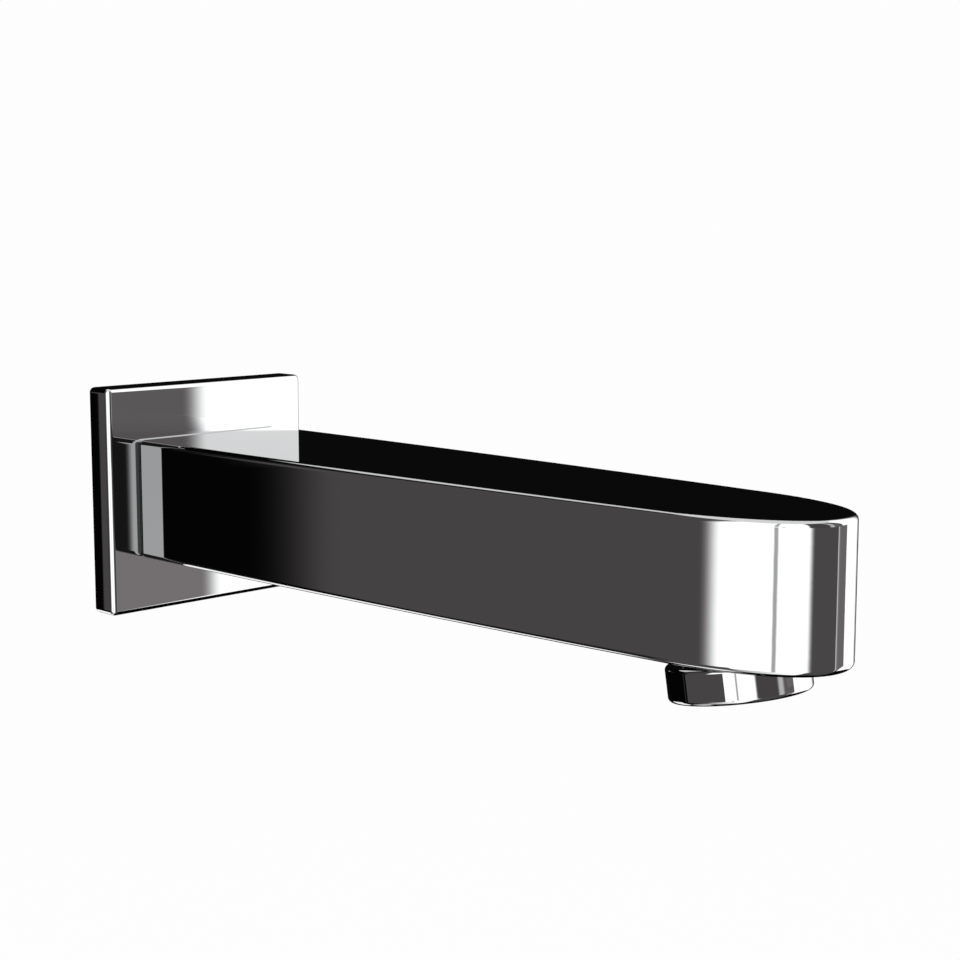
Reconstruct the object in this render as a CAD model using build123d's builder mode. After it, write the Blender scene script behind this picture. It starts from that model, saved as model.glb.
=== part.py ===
# Wall-mounted bath spout: a hollow cast body with a bowed plan and a rounded nose, a wall plate,
# a slip-on wall connector with its seals, and a tilted aerator under the nose.
# Millimetres. The wall is the plane y = 0, the spout reaches out along -Y, and +Z is up.
# The origin is on the inlet axis, at the wall.
import os
from math import cos, radians, sin

from build123d import *

# Wall plate
flange_width = 64.5
flange_height = 60.0
flange_depth = 9.0
flange_drop = 0.4
flange_edge_radius = 1.4
flange_rim = 2.4
flange_face = 4.0
flange_seat_width = 3.6

# Soft ring in the back of the plate
seal_depth = 3.0
seal_clearance = 0.1

# Body: heights, and its plan from the plate to the tip of the nose
body_height = 31.3
body_reach = 204.9
body_width = 47.2
nose_width = 37.1
nose_length = 30.5
side_bow = 1.35
nose_side_handle = 12.6
nose_tip_handle = 12.3
body_edge_radius = 1.4
rear_edge_radius = 2.0
body_wall = 2.8
core_edge_radius = 2.0

# Inlet socket in the body, and the round spigot that carries the plate
socket_bore = 22.0
socket_wall = 2.5
socket_length = 26.0
socket_chamfer = 0.8
spigot_length = 5.8
spigot_clearance = 0.15

# Wall connector
thread_diameter = 20.955
thread_length = 14.0
thread_chamfer = 1.0
shoulder_diameter = 27.0
shoulder_thickness = 2.5
connector_clearance = 0.1
connector_engagement = 22.0
connector_chamfer = 1.0
connector_bore = 12.0
key_width = 12.0
key_depth = 10.0

# Round seals: the section is what is left once the ring is squeezed
ring_groove_depth = 1.9
ring_groove_width = 2.6
ring_slack = 0.02
front_ring_setback = 4.5
ring_spacing = 5.5
plate_ring_section = 1.7
plate_ring_seat = 1.8

# Set screw under the body
grub_diameter = 5.0
grub_clearance = 0.05
grub_setback = 6.0
grub_recess = 0.8
grub_point_diameter = 3.0
grub_point_height = 0.8
grub_key_width = 2.5
grub_key_depth = 2.2
grub_groove_width = 5.6
grub_groove_depth = 1.0

# Outlet: its axis leans towards the nose
outlet_setback = 26.5
outlet_tilt = 9.8
outlet_drop = 8.6
neck_wall = 2.0
boss_margin = 2.0
boss_height = 3.6
spot_face_clearance = 0.45

# Aerator ring and what it holds
housing_diameter = 30.2
housing_height = 7.6
housing_wall = 3.0
housing_edge_radius = 1.0
housing_lip = 1.5
housing_lip_width = 2.6
housing_thread_clearance = 0.1
washer_thickness = 1.5
insert_flange_thickness = 1.5
insert_clearance = 0.2
insert_top = 2.0
insert_plate = 2.5
insert_wall = 1.4
jet_diameter = 1.8
jet_inset = 2.3
jet_count = 12
grid_margin = 0.8
grid_clearance = 0.1
grid_seat_depth = 2.0
grid_thickness = 2.8
grid_rim = 0.8
cell_width = 1.9
cell_wall = 0.4
screen_margin = 0.4
screen_rim = 1.8
screen_rim_thickness = 0.8
screen_dome_height = 3.6
screen_wall = 0.8
screen_slot_width = 0.9
screen_slot_start = 2.8
screen_slot_margin = 1.5
screen_slot_count = 12

# Places that several pieces share
body_half_height = body_height / 2
rear_y = -flange_depth
tip_y = rear_y - body_reach
nose_start_y = tip_y + nose_length
spigot_radius = socket_bore / 2 + socket_wall
spigot_end_y = rear_y + spigot_length
connector_front_y = rear_y - connector_engagement
connector_radius = socket_bore / 2 - connector_clearance
ring_groove_radius = connector_radius - ring_groove_depth
front_ring_y = connector_front_y + front_ring_setback
rear_ring_y = front_ring_y + ring_spacing
grub_y = rear_y - grub_setback
grub_groove_radius = connector_radius - grub_groove_depth
seal_width = flange_width - 2 * flange_rim
seal_height = flange_height - 2 * flange_rim
plate_hole_radius = spigot_radius + spigot_clearance
plate_ring_outer_radius = spigot_radius + plate_ring_section

# Distances down the outlet axis from the underside of the body
housing_top = outlet_drop - housing_height
lip_top = outlet_drop - housing_lip
insert_flange_top = lip_top - insert_flange_thickness
neck_end = insert_flange_top - washer_thickness
grid_top = lip_top - grid_seat_depth

# Radii about the outlet axis, from the outside of the ring inwards
housing_bore_radius = housing_diameter / 2 - housing_wall
housing_mouth_radius = housing_bore_radius - housing_lip_width
neck_radius = housing_bore_radius - housing_thread_clearance
neck_bore_radius = neck_radius - neck_wall
insert_flange_radius = housing_bore_radius - insert_clearance
insert_radius = neck_bore_radius - insert_clearance
chamber_radius = insert_radius - insert_wall
grid_radius = housing_mouth_radius - grid_margin
screen_rim_radius = insert_radius - screen_margin
dome_radius = screen_rim_radius - screen_rim

# Planes and axes: the outlet section holds the axis, with its second direction down that axis
tilt = radians(outlet_tilt)
outlet_origin = (0, tip_y + outlet_setback, -body_half_height)
outlet_down = (0, -sin(tilt), -cos(tilt))
outlet_across = Plane(origin=outlet_origin, x_dir=(1, 0, 0), z_dir=outlet_down)
outlet_section = Plane(origin=outlet_origin, x_dir=(1, 0, 0), z_dir=(0, cos(tilt), -sin(tilt)))
outlet_axis = Axis(outlet_origin, outlet_down)
underside = Plane(origin=(0, grub_y, -body_half_height), x_dir=(1, 0, 0), z_dir=(0, 0, 1))


def facing(y, drop=0):
    """Plane across the inlet axis at y, looking out from the wall, centred on the axis or below it."""
    return Plane(origin=(0, y, -drop), x_dir=(1, 0, 0), z_dir=(0, -1, 0))


def stepped_profile(points, plane):
    """Closed profile of straight steps for a turned piece."""
    with BuildSketch(plane) as profile:
        with BuildLine():
            Polyline(*points, close=True)
        make_face()
    return profile.sketch


def body_plan(inset):
    """Plan of the body, drawn on its right half and mirrored; the inset gives the plan of the core."""
    side_handle = nose_side_handle * (1 - inset / nose_length)
    tip_handle = nose_tip_handle * (1 - inset / (nose_width / 2))
    with BuildSketch(Plane.XY) as plan:
        with BuildLine():
            corner = (body_width / 2 - inset, rear_y - inset)
            side = SagittaArc(
                corner,
                (nose_width / 2 - inset, nose_start_y),
                side_bow,
            )
            nose_start = side @ 1
            Bezier(
                nose_start,
                nose_start + (side % 1) * side_handle,
                (tip_handle, tip_y + inset),
                (0, tip_y + inset),
            )
            Line(corner, (0, rear_y - inset))
            mirror(about=Plane.YZ)
        make_face()
    return plan.sketch


def ring_section(y, inner_radius, outer_radius):
    """Section of a round seal on the inlet axis, filling the gap between two radii but for the slack."""
    section_radius = (outer_radius - inner_radius) / 2 - ring_slack
    with BuildSketch(Plane.XY) as section:
        with Locations(((inner_radius + outer_radius) / 2, y)):
            Circle(section_radius)
    return section.sketch


# Waterway: the core of the casting, kept clear of the inlet socket and of the outlet boss
with BuildPart() as waterway:
    add(body_plan(body_wall))
    extrude(amount=body_half_height - body_wall, both=True)
    flat_ends = waterway.faces().filter_by(Axis.Z)
    fillet(flat_ends.edges(), radius=core_edge_radius)
    with BuildSketch(facing(rear_y)):
        Circle(spigot_radius)
    extrude(amount=socket_length, mode=Mode.SUBTRACT)
    with BuildSketch(outlet_across.offset(-boss_height)):
        Circle(housing_diameter / 2 + boss_margin)
    extrude(amount=body_half_height, mode=Mode.SUBTRACT)

# Body casting
with BuildPart() as spout_body:
    add(body_plan(0))
    extrude(amount=body_half_height, both=True)
    rear_corners = spout_body.edges().filter_by(Axis.Z).group_by(Axis.Y)[-1]
    fillet(rear_corners, radius=rear_edge_radius)
    flat_faces = spout_body.faces().filter_by(Axis.Z)
    fillet(flat_faces.edges(), radius=body_edge_radius)
    add(waterway.part, mode=Mode.SUBTRACT)
    with BuildSketch(facing(spigot_end_y)):
        Circle(spigot_radius)
    extrude(amount=spigot_length + rear_edge_radius)
    with BuildSketch(facing(spigot_end_y)):
        Circle(socket_bore / 2)
    extrude(amount=spigot_length + socket_length, mode=Mode.SUBTRACT)
    mouth_circles = spout_body.edges().filter_by(GeomType.CIRCLE).group_by(Axis.Y)[-1]
    chamfer(mouth_circles.sort_by(SortBy.RADIUS)[0], length=socket_chamfer)
    # Tilted spot face, then the neck that stands in it, and the way through
    with BuildSketch(outlet_across.offset(housing_top)):
        Circle(housing_diameter / 2 + spot_face_clearance)
    extrude(amount=outlet_drop, mode=Mode.SUBTRACT)
    with BuildSketch(outlet_across.offset(-boss_height)):
        Circle(neck_radius)
    extrude(amount=boss_height + neck_end)
    with BuildSketch(outlet_across.offset(neck_end)):
        Circle(neck_bore_radius)
    extrude(amount=-(neck_end + body_half_height), mode=Mode.SUBTRACT)
    # Tapped hole for the set screw
    with BuildSketch(underside):
        Circle(grub_diameter / 2 + grub_clearance)
    extrude(amount=body_half_height, mode=Mode.SUBTRACT)

# Wall plate: a rounded box, hollow behind, with a seat for the soft ring and a hole for the spigot
with BuildPart() as wall_flange:
    with BuildSketch(facing(0, flange_drop)):
        Rectangle(flange_width, flange_height)
    extrude(amount=flange_depth)
    fillet(wall_flange.edges(), radius=flange_edge_radius)
    with BuildSketch(facing(0, flange_drop)):
        Rectangle(seal_width, seal_height)
    extrude(amount=seal_depth, mode=Mode.SUBTRACT)
    with BuildSketch(facing(0, flange_drop)):
        Rectangle(seal_width - 2 * flange_seat_width, seal_height - 2 * flange_seat_width)
    extrude(amount=flange_depth - flange_face, mode=Mode.SUBTRACT)
    with BuildSketch(facing(0)):
        Circle(plate_hole_radius)
    extrude(amount=flange_depth, mode=Mode.SUBTRACT)
    with BuildSketch(facing(0)):
        Circle(plate_ring_outer_radius)
    extrude(amount=flange_depth - flange_face + plate_ring_seat, mode=Mode.SUBTRACT)

# Soft ring that closes the plate against the wall
with BuildPart() as flange_wall_seal:
    with BuildSketch(facing(0, flange_drop)):
        Rectangle(seal_width - 2 * seal_clearance, seal_height - 2 * seal_clearance)
        Rectangle(
            seal_width - 2 * flange_seat_width + 2 * seal_clearance,
            seal_height - 2 * flange_seat_width + 2 * seal_clearance,
            mode=Mode.SUBTRACT,
        )
    extrude(amount=seal_depth)

# Wall connector: thread, shoulder and a grooved spigot, turned about the inlet axis
with BuildPart() as inlet_connector:
    turned_steps = stepped_profile(
        [
            (connector_bore / 2, thread_length),
            (thread_diameter / 2 - thread_chamfer, thread_length),
            (thread_diameter / 2, thread_length - thread_chamfer),
            (thread_diameter / 2, 0),
            (shoulder_diameter / 2, 0),
            (shoulder_diameter / 2, -shoulder_thickness),
            (connector_radius, -shoulder_thickness),
            (connector_radius, connector_front_y + connector_chamfer),
            (connector_radius - connector_chamfer, connector_front_y),
            (connector_bore / 2, connector_front_y),
        ],
        Plane.XY,
    )
    revolve(turned_steps, axis=Axis.Y)
    for groove_y, width, bottom_radius in (
        (front_ring_y, ring_groove_width, ring_groove_radius),
        (rear_ring_y, ring_groove_width, ring_groove_radius),
        (grub_y, grub_groove_width, grub_groove_radius),
    ):
        with BuildSketch(facing(groove_y + width / 2)):
            Circle(connector_radius)
            Circle(bottom_radius, mode=Mode.SUBTRACT)
        extrude(amount=width, mode=Mode.SUBTRACT)
    # Six-sided socket for the fitting key
    with BuildSketch(facing(connector_front_y)):
        RegularPolygon(radius=key_width / 2, side_count=6, major_radius=False)
    extrude(amount=-key_depth, mode=Mode.SUBTRACT)

# Round seals between the connector and the socket
with BuildPart() as connector_o_ring_front:
    add(ring_section(front_ring_y, ring_groove_radius, socket_bore / 2))
    revolve(axis=Axis.Y)

with BuildPart() as connector_o_ring_rear:
    add(ring_section(rear_ring_y, ring_groove_radius, socket_bore / 2))
    revolve(axis=Axis.Y)

# Round seal between the plate and the spigot
with BuildPart() as flange_o_ring:
    plate_ring_y = rear_y + flange_face - plate_ring_seat + plate_ring_section / 2
    add(ring_section(plate_ring_y, spigot_radius, plate_ring_outer_radius))
    revolve(axis=Axis.Y)

# Set screw, standing on the bottom of the connector's groove
with BuildPart() as grub_screw:
    grub_foot = -body_half_height + grub_recess
    with BuildSketch(Plane(origin=(0, grub_y, grub_foot))):
        Circle(grub_diameter / 2)
    extrude(amount=-grub_groove_radius - grub_point_height - grub_foot)
    with BuildSketch(Plane(origin=(0, grub_y, -grub_groove_radius - grub_point_height))):
        Circle(grub_point_diameter / 2)
    extrude(amount=grub_point_height)
    with BuildSketch(Plane(origin=(0, grub_y, grub_foot))):
        RegularPolygon(radius=grub_key_width / 2, side_count=6, major_radius=False)
    extrude(amount=grub_key_depth, mode=Mode.SUBTRACT)

# Aerator ring: rounded above and below, bored for the neck, with a lip at the mouth
with BuildPart() as aerator_housing:
    with BuildSketch(outlet_section) as housing_profile:
        with BuildLine():
            Polyline(
                (housing_bore_radius, housing_top),
                (housing_diameter / 2, housing_top),
                (housing_diameter / 2, outlet_drop),
                (housing_mouth_radius, outlet_drop),
                (housing_mouth_radius, lip_top),
                (housing_bore_radius, lip_top),
                close=True,
            )
        make_face()
        outer_corners = housing_profile.vertices().group_by(Axis.X)[-1]
        fillet(outer_corners, radius=housing_edge_radius)
    revolve(axis=outlet_axis)

# Flat washer between the neck and the insert
with BuildPart() as aerator_washer:
    with BuildSketch(outlet_across.offset(neck_end)):
        Circle(insert_flange_radius)
        Circle(neck_bore_radius, mode=Mode.SUBTRACT)
    extrude(amount=washer_thickness)

# Jet former: a flanged cup with a ring of jets in its floor and a seat for the straightener
with BuildPart() as aerator_insert:
    cup_steps = stepped_profile(
        [
            (0, -insert_top),
            (insert_radius, -insert_top),
            (insert_radius, insert_flange_top),
            (insert_flange_radius, insert_flange_top),
            (insert_flange_radius, lip_top),
            (grid_radius + grid_clearance, lip_top),
            (grid_radius + grid_clearance, grid_top),
            (chamber_radius, grid_top),
            (chamber_radius, insert_plate - insert_top),
            (0, insert_plate - insert_top),
        ],
        outlet_section,
    )
    revolve(cup_steps, axis=outlet_axis)
    with BuildSketch(outlet_across.offset(-insert_top)):
        with PolarLocations(chamber_radius - jet_inset, jet_count):
            Circle(jet_diameter / 2)
    extrude(amount=insert_plate, mode=Mode.SUBTRACT)

# Honeycomb straightener at the mouth
with BuildPart() as aerator_grid:
    with BuildSketch(outlet_across.offset(grid_top)):
        Circle(grid_radius)
        cell_pitch = cell_width + cell_wall
        cell_reach = grid_radius - grid_rim - cell_width / 2
        cell_rows = 2 * int(cell_reach / cell_pitch) + 3
        cells = HexLocations(cell_pitch / 2, cell_rows, cell_rows).local_locations
        with Locations(*[cell for cell in cells if cell.position.length < cell_reach]):
            RegularPolygon(radius=cell_width / 2, side_count=6, major_radius=False, mode=Mode.SUBTRACT)
    extrude(amount=grid_thickness)

# Slotted filter dome on top of the insert
with BuildPart() as aerator_screen:
    dome_base = -insert_top - screen_rim_thickness
    crown = dome_base - screen_dome_height
    with BuildSketch(outlet_section):
        with BuildLine():
            Polyline(
                (dome_radius - screen_wall, -insert_top),
                (screen_rim_radius, -insert_top),
                (screen_rim_radius, dome_base),
                (dome_radius, dome_base),
            )
            TangentArc((0, crown), (dome_radius, dome_base), tangent=(1, 0))
            Line((0, crown), (0, crown + screen_wall))
            TangentArc((0, crown + screen_wall), (dome_radius - screen_wall, dome_base), tangent=(1, 0))
            Line((dome_radius - screen_wall, dome_base), (dome_radius - screen_wall, -insert_top))
        make_face()
    revolve(axis=outlet_axis)
    slot_length = dome_radius - screen_slot_margin - screen_slot_start
    with BuildSketch(outlet_across.offset(dome_base)):
        with PolarLocations(screen_slot_start + slot_length / 2, screen_slot_count):
            Rectangle(slot_length, screen_slot_width)
    extrude(amount=-screen_dome_height, mode=Mode.SUBTRACT)

pieces = {
    "spout_body": spout_body,
    "wall_flange": wall_flange,
    "flange_wall_seal": flange_wall_seal,
    "flange_o_ring": flange_o_ring,
    "inlet_connector": inlet_connector,
    "connector_o_ring_front": connector_o_ring_front,
    "connector_o_ring_rear": connector_o_ring_rear,
    "grub_screw": grub_screw,
    "aerator_housing": aerator_housing,
    "aerator_washer": aerator_washer,
    "aerator_insert": aerator_insert,
    "aerator_grid": aerator_grid,
    "aerator_screen": aerator_screen,
}
os.makedirs("parts", exist_ok=True)
for name, piece in pieces.items():
    piece.part.label = name
    export_step(piece.part, f"parts/{name}.step")
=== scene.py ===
import math

import bpy
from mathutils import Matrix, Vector, kdtree


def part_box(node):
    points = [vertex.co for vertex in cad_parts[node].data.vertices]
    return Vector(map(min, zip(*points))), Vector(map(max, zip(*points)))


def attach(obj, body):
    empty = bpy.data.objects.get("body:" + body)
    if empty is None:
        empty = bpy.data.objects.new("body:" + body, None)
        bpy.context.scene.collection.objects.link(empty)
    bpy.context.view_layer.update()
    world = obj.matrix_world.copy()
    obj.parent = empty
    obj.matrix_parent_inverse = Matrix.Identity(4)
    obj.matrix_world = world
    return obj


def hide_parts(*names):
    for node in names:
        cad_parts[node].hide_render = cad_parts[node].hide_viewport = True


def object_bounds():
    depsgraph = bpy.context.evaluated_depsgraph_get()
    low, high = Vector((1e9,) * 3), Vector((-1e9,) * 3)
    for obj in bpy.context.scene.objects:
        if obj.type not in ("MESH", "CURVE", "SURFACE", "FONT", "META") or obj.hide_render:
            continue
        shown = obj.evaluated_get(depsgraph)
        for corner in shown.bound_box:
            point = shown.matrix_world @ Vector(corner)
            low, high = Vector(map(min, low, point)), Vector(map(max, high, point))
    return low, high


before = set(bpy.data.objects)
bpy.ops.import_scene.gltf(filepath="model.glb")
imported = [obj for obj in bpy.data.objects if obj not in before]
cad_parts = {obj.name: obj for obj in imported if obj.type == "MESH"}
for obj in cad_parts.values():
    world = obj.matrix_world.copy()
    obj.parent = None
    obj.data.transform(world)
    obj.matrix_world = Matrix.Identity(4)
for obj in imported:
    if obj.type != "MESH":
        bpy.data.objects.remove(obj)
cad_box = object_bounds()
scene = bpy.context.scene
scene.view_settings.view_transform = "Standard"

# Sizes of the polished castings, metres, as the solids have them
PLATE_LOW, PLATE_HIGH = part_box("wall_flange")
BODY_REAR_Y = PLATE_LOW.y
BODY_TIP_Y = cad_box[0].y
BODY_HALF_HEIGHT = 0.01565
BODY_WIDTH = 0.0472
NOSE_WIDTH = 0.0371
NOSE_LENGTH = 0.0305
SIDE_BOW = 0.00135
NOSE_SIDE_HANDLE = 0.0126
NOSE_TIP_HANDLE = 0.0123
BODY_EDGE = 0.0014
REAR_CORNER = 0.002
PLATE_EDGE = 0.0014
RING_RADIUS = 0.0151
RING_TOP = 0.001
RING_BOTTOM = 0.0086
RING_EDGE = 0.001
OUTLET_Y = -0.1874
OUTLET = Vector((0, OUTLET_Y, -BODY_HALF_HEIGHT))
OUTLET_TILT = math.radians(9.8)

# A point this near a true surface lies on it, in metres, and a face takes the true normals
# whose cosine with its own is at least this
SKIN_TOLERANCE = 0.00001
SKIN_FACING = 0.7

# Steps along the body's plan
REAR_STEPS = 100
CORNER_STEPS = 200
SIDE_STEPS = 400
NOSE_STEPS = 1500

# G 1/2 thread of the wall connector, metres; each flank takes half a turn
HALF_TURN = 0.5
THREAD_PITCH = 0.001814
THREAD_DEPTH = 0.00116
THREAD_START_Y = 0.0002
THREAD_ROOT = 0.0095

# Studio sizes, metres
FLOOR_Z = -1.2
FLOOR_HALF = 30.0
SWEEP_LIFT = 0.01
SWEEP_Z = FLOOR_Z + SWEEP_LIFT
STUDIO_RADIUS = 3.0
FLAG_RADIUS = 1.0
FLAG_TOP = 1.6
# Cards that glow only in the chrome, painted reflections round the ring and beside the nose
COLLAR_RADIUS = 0.027
COLLAR_TOP = -0.0031
COLLAR_BOTTOM = -0.0130
STRIP_RADIUS = 0.045
STRIP_TOP = 0.014
STRIP_BOTTOM = -0.0195

# Bands of the studio drum, metres: radii on the sweep under the spout, from its middle outwards
BLACK_DISC = (0.02, 0.25)
SIDE_DISC = (0.30, 0.65)
NEAR_FLOOR = (0.70, 2.2)
FAR_FLOOR = (2.3, STUDIO_RADIUS)

# Bands of the studio drum, metres: heights on its wall, from the sweep upwards
LOW_BAND = (-0.392,)
MIDDLE_BAND = (-0.372,)
UNDER_RING_BAND = (-0.30,)
RING_BAND = (-0.26, 0.12)
OVER_RING_BAND = (0.16, 0.28)
OVER_LIGHT_BAND = (0.295, 0.33)
OVER_BAND = (0.353,)
HIGH_BAND = (0.356, 2.6)
TOP_BAND = (2.7, 4.5)

# Headings of a card's corners: degrees apart on a card, and steps in the gap between two cards
CARD_STEP = 2
GAP_STEPS = 8

# Light levels as the chrome shows them: 255 is white; the last two are painted white levels for light
# seen by way of two mirrors, dimmer in most bands and brighter in the bands over the spout
BLACK = 4
WHITE = 255
PAINTED_TWICE_WHITE = 229
PAINTED_OVER_WHITE = 330

# Light of the white cards, the share of it left past two mirrors, a painted shade that darkens the
# contacts between parts, and the share that chrome gives back
WHITE_LIGHT = 1.6
PAINTED_SHADE_SHARE = 0.2
CHROME_SHARE = 0.65

# Tints of the cards below a level, and of the others
DARK_LEVEL = 130
DARK_TINT = (1.04, 0.965, 1.0)
PLAIN_TINT = (1.0, 1.0, 1.0)

# World behind the spout and floor under it
BACKGROUND = (0.985, 0.985, 0.985, 1)
FLOOR_MATT = (0.9, 0.9, 0.9, 1)
FLOOR_GLOW = (1.0, 1.0, 1.0, 1)
FLOOR_GLOW_SHARE = 0.85

# Ray depths that part light seen in one mirror from two, where the painted reflection begins, and in two
# from more, where the painted shade begins
ONE_MIRROR = 1.5
TWO_MIRRORS = 2.5

# Softbox over the spout's left front
SOFTBOX_PLACE = (-0.6, -0.9, 1.6)
SOFTBOX_TURN = (30, 0, -33)
SOFTBOX_WIDTH = 1.2
SOFTBOX_DEPTH = 0.8
SOFTBOX_POWER = 12.0

# Photograph's camera
IMAGE_WIDTH = 960
FOCAL_PIXELS = 1876.066
SENSOR_WIDTH = 36.0
CAMERA_PLACE = (-0.306941, -0.417306, 0.074067)
CAMERA_TURN = (81.971, -0.031, -45.203)
CAMERA_NEAR = 0.01

# Noise that spreads a material between two colours, and two roughnesses at a finer scale
NOISE_LOW = 0.3
NOISE_HIGH = 0.7
NOISE_DETAIL = 3.0
ROUGH_SCALE = 1.7

# Fine grain of a material, its depth in metres
GRAIN_SCALE = 400.0
GRAIN_DETAIL = 4.0
GRAIN_DEPTH = 0.0004


def linear(level):
    """Linear light of an sRGB level from 0 to white."""
    c = level / WHITE
    return c / 12.92 if c <= 0.04045 else ((c + 0.055) / 1.055) ** 2.4


def new_material(name):
    """An empty node material with its nodes, links and output."""
    material = bpy.data.materials.new(name)
    material.use_nodes = True
    nodes = material.node_tree.nodes
    nodes.clear()
    output = nodes.new("ShaderNodeOutputMaterial")
    return material, nodes, material.node_tree.links, output


def object_noise(nodes, links, scale, detail):
    """Noise on the object's own coordinates."""
    place = nodes.new("ShaderNodeTexCoord")
    noise = nodes.new("ShaderNodeTexNoise")
    noise.inputs["Scale"].default_value = scale
    noise.inputs["Detail"].default_value = detail
    links.new(place.outputs["Object"], noise.inputs["Vector"])
    return noise.outputs["Fac"]


def noise_ramp(nodes, links, scale, low, high):
    """Noise spread between two colours."""
    ramp = nodes.new("ShaderNodeValToRGB")
    for stop, position, colour in zip(ramp.color_ramp.elements, (NOISE_LOW, NOISE_HIGH), (low, high)):
        stop.position = position
        stop.color = (*colour, 1)
    links.new(object_noise(nodes, links, scale, NOISE_DETAIL), ramp.inputs["Fac"])
    return ramp.outputs["Color"]


def math_node(nodes, links, operation, *values):
    """A sum, product or comparison of sockets and numbers."""
    node = nodes.new("ShaderNodeMath")
    node.operation = operation
    for socket, value in zip(node.inputs, values):
        if isinstance(value, (int, float)):
            socket.default_value = value
        else:
            links.new(value, socket)
    return node.outputs[0]


def add_bump(nodes, links, shader, height, strength, depth):
    """A bump on a shader: its height is in units of the depth, which is in metres."""
    bump = nodes.new("ShaderNodeBump")
    bump.inputs["Strength"].default_value = strength
    bump.inputs["Distance"].default_value = depth
    links.new(height, bump.inputs["Height"])
    links.new(bump.outputs["Normal"], shader.inputs["Normal"])


def principled(name, low, high, rough, metallic, scale, grain=0.0, grain_scale=GRAIN_SCALE):
    """A material whose colour and roughness vary a little, with or without a fine grain."""
    material, nodes, links, output = new_material(name)
    shader = nodes.new("ShaderNodeBsdfPrincipled")
    shader.inputs["Metallic"].default_value = metallic
    links.new(shader.outputs["BSDF"], output.inputs["Surface"])
    links.new(noise_ramp(nodes, links, scale, low, high), shader.inputs["Base Color"])
    greys = [(value,) * 3 for value in rough]
    links.new(noise_ramp(nodes, links, scale * ROUGH_SCALE, *greys), shader.inputs["Roughness"])
    if grain:
        height = object_noise(nodes, links, grain_scale, GRAIN_DETAIL)
        add_bump(nodes, links, shader, height, grain, GRAIN_DEPTH)
    return material


def cut_thread(material):
    """A helical thread about the inlet axis on the outside of the connector's wall end."""
    nodes = material.node_tree.nodes
    links = material.node_tree.links
    place = nodes.new("ShaderNodeTexCoord")
    parts = nodes.new("ShaderNodeSeparateXYZ")
    links.new(place.outputs["Object"], parts.inputs["Vector"])
    x, y, z = (parts.outputs[axis] for axis in "XYZ")
    angle = math_node(nodes, links, "ARCTAN2", x, z)
    turn = math_node(nodes, links, "MULTIPLY", angle, 1 / math.tau)
    along = math_node(nodes, links, "MULTIPLY", y, 1 / THREAD_PITCH)
    helix = math_node(nodes, links, "ADD", turn, along)
    flank = math_node(nodes, links, "PINGPONG", helix, HALF_TURN)
    squares = [math_node(nodes, links, "MULTIPLY", value, value) for value in (x, z)]
    radius_squared = math_node(nodes, links, "ADD", *squares)
    outside = math_node(nodes, links, "GREATER_THAN", radius_squared, THREAD_ROOT**2)
    threaded = math_node(nodes, links, "GREATER_THAN", y, THREAD_START_Y)
    share = math_node(nodes, links, "MULTIPLY", outside, threaded)
    height = math_node(nodes, links, "MULTIPLY", flank, share)
    shader = nodes["Principled BSDF"]
    add_bump(nodes, links, shader, height, strength=1.0, depth=THREAD_DEPTH / HALF_TURN)


chrome = principled(
    "chrome",
    low=(0.64, 0.645, 0.65),
    high=(0.66, 0.663, 0.665),
    rough=(0.004, 0.012),
    metallic=1.0,
    scale=30.0,
)
brass = principled(
    "brass",
    low=(0.70, 0.52, 0.24),
    high=(0.74, 0.56, 0.27),
    rough=(0.22, 0.30),
    metallic=1.0,
    scale=60.0,
)
cut_thread(brass)
rubber = principled(
    "rubber",
    low=(0.02, 0.02, 0.021),
    high=(0.035, 0.035, 0.037),
    rough=(0.55, 0.7),
    metallic=0.0,
    scale=120.0,
    grain=0.2,
)
foam = principled(
    "foam",
    low=(0.05, 0.05, 0.052),
    high=(0.11, 0.11, 0.115),
    rough=(0.85, 0.95),
    metallic=0.0,
    scale=500.0,
    grain=0.6,
    grain_scale=1500.0,
)
plastic = principled(
    "plastic",
    low=(0.70, 0.70, 0.68),
    high=(0.76, 0.76, 0.74),
    rough=(0.38, 0.46),
    metallic=0.0,
    scale=80.0,
    grain=0.05,
)
steel = principled(
    "steel",
    low=(0.46, 0.46, 0.47),
    high=(0.56, 0.56, 0.57),
    rough=(0.25, 0.35),
    metallic=1.0,
    scale=200.0,
    grain=0.1,
)

finishes = {
    "spout_body": chrome,
    "wall_flange": chrome,
    "aerator_housing": chrome,
    "inlet_connector": brass,
    "flange_wall_seal": foam,
    "flange_o_ring": rubber,
    "connector_o_ring_front": rubber,
    "connector_o_ring_rear": rubber,
    "aerator_washer": rubber,
    "aerator_insert": plastic,
    "aerator_grid": plastic,
    "aerator_screen": plastic,
    "grub_screw": steel,
}
for node, material in finishes.items():
    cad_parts[node].data.materials.clear()
    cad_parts[node].data.materials.append(material)


def on_rounding(offset, radius):
    """Unit normal of a rounded edge, or of a flat beside it, where the point lies on it; else None."""
    return offset.normalized() if abs(offset.length - radius) < SKIN_TOLERANCE else None


def beyond(value, low, high):
    """How far a value lies outside a range, with its sign."""
    return value - min(max(value, low), high)


def steps(count):
    """Shares from 0 to 1."""
    return [i / count for i in range(count + 1)]


def arc(centre, radius, first, last, count):
    """Points and outward normals of an arc between two angles."""
    found = []
    for t in steps(count):
        angle = first + (last - first) * t
        normal = Vector((math.cos(angle), math.sin(angle)))
        found.append((centre + normal * radius, normal))
    return found


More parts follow.
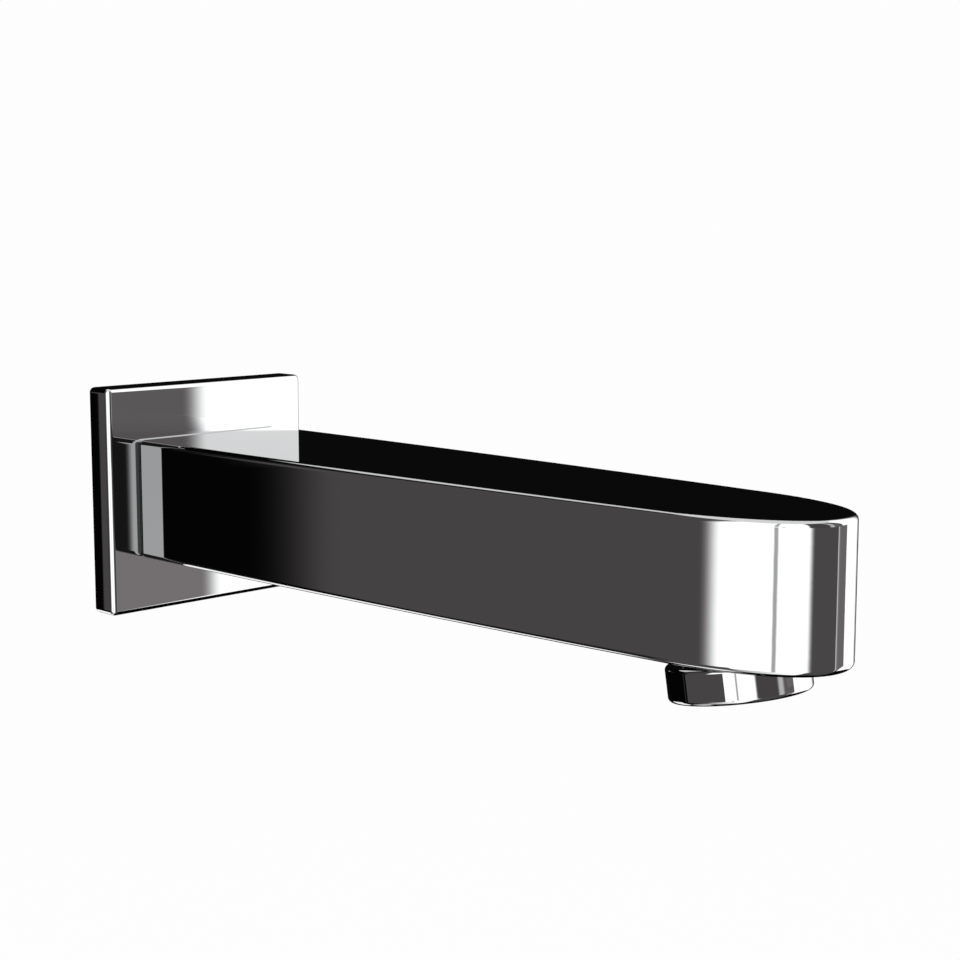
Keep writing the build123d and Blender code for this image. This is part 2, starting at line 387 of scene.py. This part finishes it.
def plan_outline():
    """Points and outward normals of the right half of the body's plan, from the wall end to the tip."""
    start = Vector((BODY_WIDTH / 2, BODY_REAR_Y))
    end = Vector((NOSE_WIDTH / 2, BODY_TIP_Y + NOSE_LENGTH))
    chord = end - start
    radius = (chord.length_squared / 4 + SIDE_BOW**2) / (2 * SIDE_BOW)
    inward = Vector((chord.y, -chord.x)).normalized()
    centre = (start + end) / 2 + inward * (radius - SIDE_BOW)
    corner_y = BODY_REAR_Y - REAR_CORNER
    corner_x = centre.x + math.sqrt((radius - REAR_CORNER) ** 2 - (corner_y - centre.y) ** 2)
    corner = Vector((corner_x, corner_y))
    first = math.atan2(corner_y - centre.y, corner_x - centre.x)
    last = math.atan2(end.y - centre.y, end.x - centre.x)
    rear = [(Vector((corner_x * t, BODY_REAR_Y)), Vector((0, 1))) for t in steps(REAR_STEPS)]
    rounding = arc(corner, REAR_CORNER, math.pi / 2, first, CORNER_STEPS)
    side = arc(centre, radius, first, last, SIDE_STEPS)
    tangent = Vector((math.sin(last), -math.cos(last)))
    a, b = end, end + tangent * NOSE_SIDE_HANDLE
    c, d = Vector((NOSE_TIP_HANDLE, BODY_TIP_Y)), Vector((0, BODY_TIP_Y))
    nose = []
    for t in steps(NOSE_STEPS):
        s = 1 - t
        point = a * s**3 + b * (3 * s * s * t) + c * (3 * s * t * t) + d * t**3
        along = (b - a) * s * s + (c - b) * (2 * s * t) + (d - c) * t * t
        nose.append((point, Vector((-along.y, along.x)).normalized()))
    return rear + rounding + side + nose


outline = plan_outline()
outline_tree = kdtree.KDTree(len(outline))
for index, (point, normal) in enumerate(outline):
    outline_tree.insert((point.x, point.y, 0), index)
outline_tree.balance()


def body_skin(point):
    """Normal of the body's outside at a point, or None where the point isn't on it."""
    side = -1 if point.x < 0 else 1
    index = outline_tree.find((abs(point.x), point.y, 0))[1]
    place, normal = outline[index]
    outward = (Vector((abs(point.x), point.y)) - place).dot(normal)
    straight = BODY_HALF_HEIGHT - BODY_EDGE
    past = Vector((max(outward + BODY_EDGE, 0), beyond(point.z, -straight, straight)))
    found = on_rounding(past, BODY_EDGE)
    return found and Vector((side * normal.x * found.x, normal.y * found.x, found.y))


def plate_skin(point):
    """Normal of the plate's outside at a point, or None where the point isn't on it."""
    sides = zip(point, PLATE_LOW, PLATE_HIGH)
    past = Vector([beyond(p, low + PLATE_EDGE, high - PLATE_EDGE) for p, low, high in sides])
    return on_rounding(past, PLATE_EDGE)


def ring_skin(point):
    """Normal of the ring's outside at a point, or None where the point isn't on it."""
    down = Vector((0, -math.sin(OUTLET_TILT), -math.cos(OUTLET_TILT)))
    drop = (point - OUTLET).dot(down)
    across = point - OUTLET - down * drop
    outward = max(across.length - RING_RADIUS + RING_EDGE, 0)
    past = Vector((outward, beyond(drop, RING_TOP + RING_EDGE, RING_BOTTOM - RING_EDGE)))
    found = on_rounding(past, RING_EDGE)
    return found and across.normalized() * found.x + down * found.y


def polish(node, skin):
    """A copy of a CAD node whose outside has its true normals, which a mirror finish shows."""
    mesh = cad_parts[node].data.copy()
    normals = [Vector(corner.vector) for corner in mesh.corner_normals]
    exact = [skin(vertex.co) for vertex in mesh.vertices]
    for face in mesh.polygons:
        wanted = [exact[i] for i in face.vertices]
        if all(wanted) and all(normal.dot(face.normal) > SKIN_FACING for normal in wanted):
            for corner, normal in zip(face.loop_indices, wanted):
                normals[corner] = normal
    mesh.polygons.foreach_set("use_smooth", [True] * len(mesh.polygons))
    mesh.normals_split_custom_set(normals)
    piece = bpy.data.objects.new(node + "_polished", mesh)
    scene.collection.objects.link(piece)
    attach(piece, "root")
    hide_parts(node)


polish("spout_body", body_skin)
polish("wall_flange", plate_skin)
polish("aerator_housing", ring_skin)

# Studio cards in a row: first and last compass heading, in degrees from +Y towards +X, and level.
# The light changes softly from each card to the next.
low_row = {
    "behind_right": (0, 66, BLACK),
    "right_white": (95, 142.82, WHITE),
    "plate_grey": (143.58, 150, 112),
    "nose_strip": (151, 152.2, 185),
    "nose_grey": (153.6, 196.5, 70),
    "left_white": (206, 237.2, WHITE),
    "nose_line": (238.9, 240.3, 160),
    "side_white": (242, 272.9, WHITE),
    "side_grey": (283, 314.6, 67),
    "side_black": (319.4, 324.9, BLACK),
    "plate_strip": (325, 325.75, 65),
    "behind_left": (325.8, 360, BLACK),
}
high_row = low_row | {
    "right_white": (95, 143.2, WHITE),
    "plate_grey": (144.12, 160, 88),
    "nose_strip": (165, 169, 175),
    "nose_grey": (174, 203.5, 65),
    "left_white": (207.5, 237.2, WHITE),
    "side_grey": (283, 318, 67),
    "side_black": (323.5, 324.9, BLACK),
}
middle_row = high_row | {
    "right_white": (95, 142.9, WHITE),
    "plate_grey": (143.85, 160, 92),
    "side_grey": (283, 316, 67),
    "side_black": (321.3, 324.9, BLACK),
}
ring_row = high_row | {
    "left_white": (207.5, 231.8, WHITE),
    "nose_line": (233, 234.2, 160),
    "side_white": (235.4, 272.9, WHITE),
}
over_row = high_row | {"right_white": (95, 142.94, WHITE), "plate_grey": (143.95, 160, 92)}
over_light_row = high_row | {"right_white": (95, 143.06, WHITE), "plate_grey": (144.07, 160, 96)}
top_row = high_row | {
    "behind": (0, 14, 200),
    "behind_right": (20, 66, BLACK),
    "behind_left": (325.8, 335, BLACK),
    "behind_end": (340, 360, 200),
}
floor_row = {
    "behind": (0, 14, 240),
    "behind_right": (20, 145, BLACK),
    "nose_grey": (146, 203, 67),
    "left_white": (206.5, 215, WHITE),
    "side_black": (334, 335, BLACK),
    "behind_end": (340, 360, 240),
}
disc_row = {"front": (0, 270, BLACK), "side": (280, 335, 240), "behind_left": (340, 360, BLACK)}
black_row = {"all_round": (0, 360, BLACK)}

# Painted reflection and painted shade in the corner between body and plate, as it shows by way of two
# mirrors
painted_corner_row = {
    "painted_corner_shade": (178, 214.6, 28),
    "painted_corner_light": (215.05, 272, 187),
    "painted_corner_grey": (278, 285, 67),
}

# Single cards: a flag behind the spout, and two grey cards that glow only in the chrome, a painted
# reflection band round the ring and a painted reflection strip beside the nose
flag_row = {"flag": (20, 73, 8)}
painted_collar_row = {"painted_collar": (249.8, 300, 68)}
painted_strip_row = {"painted_strip": (155.7, 167, 99)}


def outside_of(cards, first, last):
    """The cards, or the parts of them, that lie outside a span of headings."""
    for start, end, level in cards:
        if start < first:
            yield (start, min(end, first), level)
        if end > last:
            yield (max(start, last), end, level)


def paint_by_two_mirrors(cards, white):
    """A row of cards as painted for light seen by way of two mirrors: whites set to a painted level and
    the painted corner reflection and shade put in; a card alone stays as it is.
    """
    if len(cards) == 1:
        return cards
    dimmed = [(start, end, white if level == WHITE else min(level, white)) for start, end, level in cards]
    first = painted_corner_row["painted_corner_shade"][0]
    last = painted_corner_row["painted_corner_grey"][1]
    return sorted([*outside_of(dimmed, first, last), *painted_corner_row.values()])


def level_at(cards, heading):
    """Level at a heading, with a soft change between two cards."""
    for (_, end, level), (following, _, next_level) in zip(cards, cards[1:]):
        if heading <= end:
            return level
        if heading < following:
            t = (heading - end) / (following - end)
            return level + (next_level - level) * t * t * (3 - 2 * t)
    return cards[-1][2]


def card_light(cards, heading):
    """Light of a row of cards at a heading, as a share of the white cards' light."""
    level = level_at(cards, heading)
    share = level / WHITE if level >= WHITE else linear(level) / CHROME_SHARE / WHITE_LIGHT
    return [share * t for t in (DARK_TINT if level < DARK_LEVEL else PLAIN_TINT)] + [1.0]


def card_headings(cards):
    """Headings that a row of cards needs: its cards' ends and steps in the gaps between them."""
    found = {heading for start, end, _ in cards for heading in (start, end)}
    for (_, end, _), (following, _, _) in zip(cards, cards[1:]):
        found |= {end + (following - end) * t for t in steps(GAP_STEPS)}
    return found


def studio_card(name, rows):
    """A card about a vertical axis that shows in reflections only: rows of radius, height, cards and
    the painted white level that shows by way of two mirrors; a second colour layer holds that painted
    reflection."""
    once_rows = [sorted(row.values()) for _, _, row, _ in rows]
    twice_rows = [paint_by_two_mirrors(cards, white) for cards, (_, _, _, white) in zip(once_rows, rows)]
    first, last = once_rows[0][0][0], once_rows[0][-1][1]
    headings = set(range(math.ceil(first), math.floor(last) + 1, CARD_STEP))
    for cards in once_rows + twice_rows:
        headings |= card_headings(cards)
    headings = sorted(headings)
    vertices, once, painted_twice, faces = [], [], [], []
    for heading in headings:
        angle = math.radians(heading)
        for (radius, z, _, _), cards, cards_twice in zip(rows, once_rows, twice_rows):
            vertices.append((radius * math.sin(angle), radius * math.cos(angle), z))
            once += card_light(cards, heading)
            painted_twice += card_light(cards_twice, heading)
    count = len(rows)
    for i in range(len(headings) - 1):
        for j in range(count - 1):
            a = i * count + j
            faces.append((a, a + count, a + count + 1, a + 1))
    mesh = bpy.data.meshes.new(name)
    mesh.from_pydata(vertices, [], faces)
    mesh.color_attributes.new("once", "FLOAT_COLOR", "POINT").data.foreach_set("color", once)
    mesh.color_attributes.new("painted_twice", "FLOAT_COLOR", "POINT").data.foreach_set("color", painted_twice)
    mesh.materials.append(card_material)
    card = bpy.data.objects.new(name, mesh)
    scene.collection.objects.link(card)
    card.visible_camera = False
    card.visible_diffuse = False
    card.visible_shadow = False
    return card


def make_card_material():
    """Glowing cards: one light seen in one mirror, a painted reflection by way of two, and a painted
    shade after that, which darkens the contacts between parts.
    """
    material, nodes, links, output = new_material("studio_cards")
    depth = nodes.new("ShaderNodeLightPath").outputs["Ray Depth"]
    # Past one mirror the cards take their second colour, a painted reflection
    mix = nodes.new("ShaderNodeMix")
    mix.data_type = "RGBA"
    links.new(math_node(nodes, links, "GREATER_THAN", depth, ONE_MIRROR), mix.inputs["Factor"])
    colours = [socket for socket in mix.inputs if socket.type == "RGBA"]
    for layer, socket in zip(("once", "painted_twice"), colours):
        painted = nodes.new("ShaderNodeVertexColor")
        painted.layer_name = layer
        links.new(painted.outputs["Color"], socket)
    result = next(socket for socket in mix.outputs if socket.type == "RGBA")
    # Painted shade: past two mirrors the cards glow dimmer, which darkens the contacts between parts
    painted_shade_mask = math_node(nodes, links, "GREATER_THAN", depth, TWO_MIRRORS)
    painted_shade_loss = (PAINTED_SHADE_SHARE - 1) * WHITE_LIGHT
    glow = nodes.new("ShaderNodeEmission")
    links.new(math_node(nodes, links, "MULTIPLY_ADD", painted_shade_mask, painted_shade_loss, WHITE_LIGHT), glow.inputs["Strength"])
    links.new(result, glow.inputs["Color"])
    links.new(glow.outputs["Emission"], output.inputs["Surface"])
    return material


card_material = make_card_material()
sweep_bands = (
    (BLACK_DISC, black_row),
    (SIDE_DISC, disc_row),
    (NEAR_FLOOR, floor_row),
    (FAR_FLOOR, low_row),
)
# Each wall band gives its painted white level for light seen by way of two mirrors
wall_bands = (
    (LOW_BAND, low_row, PAINTED_TWICE_WHITE),
    (MIDDLE_BAND, middle_row, PAINTED_TWICE_WHITE),
    (UNDER_RING_BAND, high_row, PAINTED_TWICE_WHITE),
    (RING_BAND, ring_row, PAINTED_TWICE_WHITE),
    (OVER_RING_BAND, high_row, PAINTED_TWICE_WHITE),
    (OVER_LIGHT_BAND, over_light_row, PAINTED_OVER_WHITE),
    (OVER_BAND, over_row, PAINTED_OVER_WHITE),
    (HIGH_BAND, high_row, PAINTED_TWICE_WHITE),
    (TOP_BAND, top_row, PAINTED_TWICE_WHITE),
)
drum_rows = [(radius, SWEEP_Z, row, PAINTED_TWICE_WHITE) for band, row in sweep_bands for radius in band]
drum_rows += [(STUDIO_RADIUS, z, row, white) for band, row, white in wall_bands for z in band]
drum = studio_card("studio_drum", drum_rows)


def upright_card(name, radius, bottom, top, row):
    """A single card that stands on part of a cylinder."""
    return studio_card(name, ((radius, bottom, row, PAINTED_TWICE_WHITE), (radius, top, row, PAINTED_TWICE_WHITE)))


flag = upright_card("black_flag", FLAG_RADIUS, FLOOR_Z, FLAG_TOP, flag_row)
# Painted reflections: grey cards that glow only in the chrome, round the ring and beside the nose
painted_collar = upright_card("collar_painted_reflection", COLLAR_RADIUS, COLLAR_BOTTOM, COLLAR_TOP, painted_collar_row)
painted_collar.location = OUTLET
painted_collar.rotation_euler.x = -OUTLET_TILT
painted_strip = upright_card("nose_painted_reflection", STRIP_RADIUS, STRIP_BOTTOM, STRIP_TOP, painted_strip_row)
painted_strip.location = (*OUTLET.xy, 0)


def pale_floor():
    """A pale floor that takes the spout's shadow, and is near white where it is seen."""
    mesh = bpy.data.meshes.new("floor")
    corners = [(-1, -1), (1, -1), (1, 1), (-1, 1)]
    mesh.from_pydata([(x * FLOOR_HALF, y * FLOOR_HALF, FLOOR_Z) for x, y in corners], [], [(0, 1, 2, 3)])
    floor = bpy.data.objects.new("floor", mesh)
    scene.collection.objects.link(floor)
    material, nodes, links, output = new_material("floor")
    matt = nodes.new("ShaderNodeBsdfDiffuse")
    matt.inputs["Color"].default_value = FLOOR_MATT
    glow = nodes.new("ShaderNodeEmission")
    glow.inputs["Color"].default_value = FLOOR_GLOW
    ray = nodes.new("ShaderNodeLightPath").outputs
    seen = math_node(nodes, links, "MAXIMUM", ray["Is Camera Ray"], ray["Is Glossy Ray"])
    seen = math_node(nodes, links, "MAXIMUM", seen, ray["Is Transmission Ray"])
    mix = nodes.new("ShaderNodeMixShader")
    links.new(math_node(nodes, links, "MULTIPLY", seen, FLOOR_GLOW_SHARE), mix.inputs["Fac"])
    links.new(matt.outputs["BSDF"], mix.inputs[1])
    links.new(glow.outputs["Emission"], mix.inputs[2])
    links.new(mix.outputs["Shader"], output.inputs["Surface"])
    mesh.materials.append(material)
    return floor


pale_floor()

world = bpy.data.worlds.new("studio")
scene.world = world
world.use_nodes = True
world.node_tree.nodes["Background"].inputs["Color"].default_value = BACKGROUND

lamp = bpy.data.lights.new("softbox", "AREA")
lamp.shape = "RECTANGLE"
lamp.size = SOFTBOX_WIDTH
lamp.size_y = SOFTBOX_DEPTH
lamp.energy = SOFTBOX_POWER
softbox = bpy.data.objects.new("softbox", lamp)
softbox.location = SOFTBOX_PLACE
softbox.rotation_euler = [math.radians(angle) for angle in SOFTBOX_TURN]
softbox.visible_glossy = False
scene.collection.objects.link(softbox)

# Camera at the photograph's angle
camera_data = bpy.data.cameras.new("camera")
camera_data.sensor_width = SENSOR_WIDTH
camera_data.lens = FOCAL_PIXELS * SENSOR_WIDTH / IMAGE_WIDTH
camera_data.clip_start = CAMERA_NEAR
camera = bpy.data.objects.new("camera", camera_data)
camera.location = CAMERA_PLACE
camera.rotation_euler = [math.radians(angle) for angle in CAMERA_TURN]
scene.collection.objects.link(camera)
scene.camera = camera
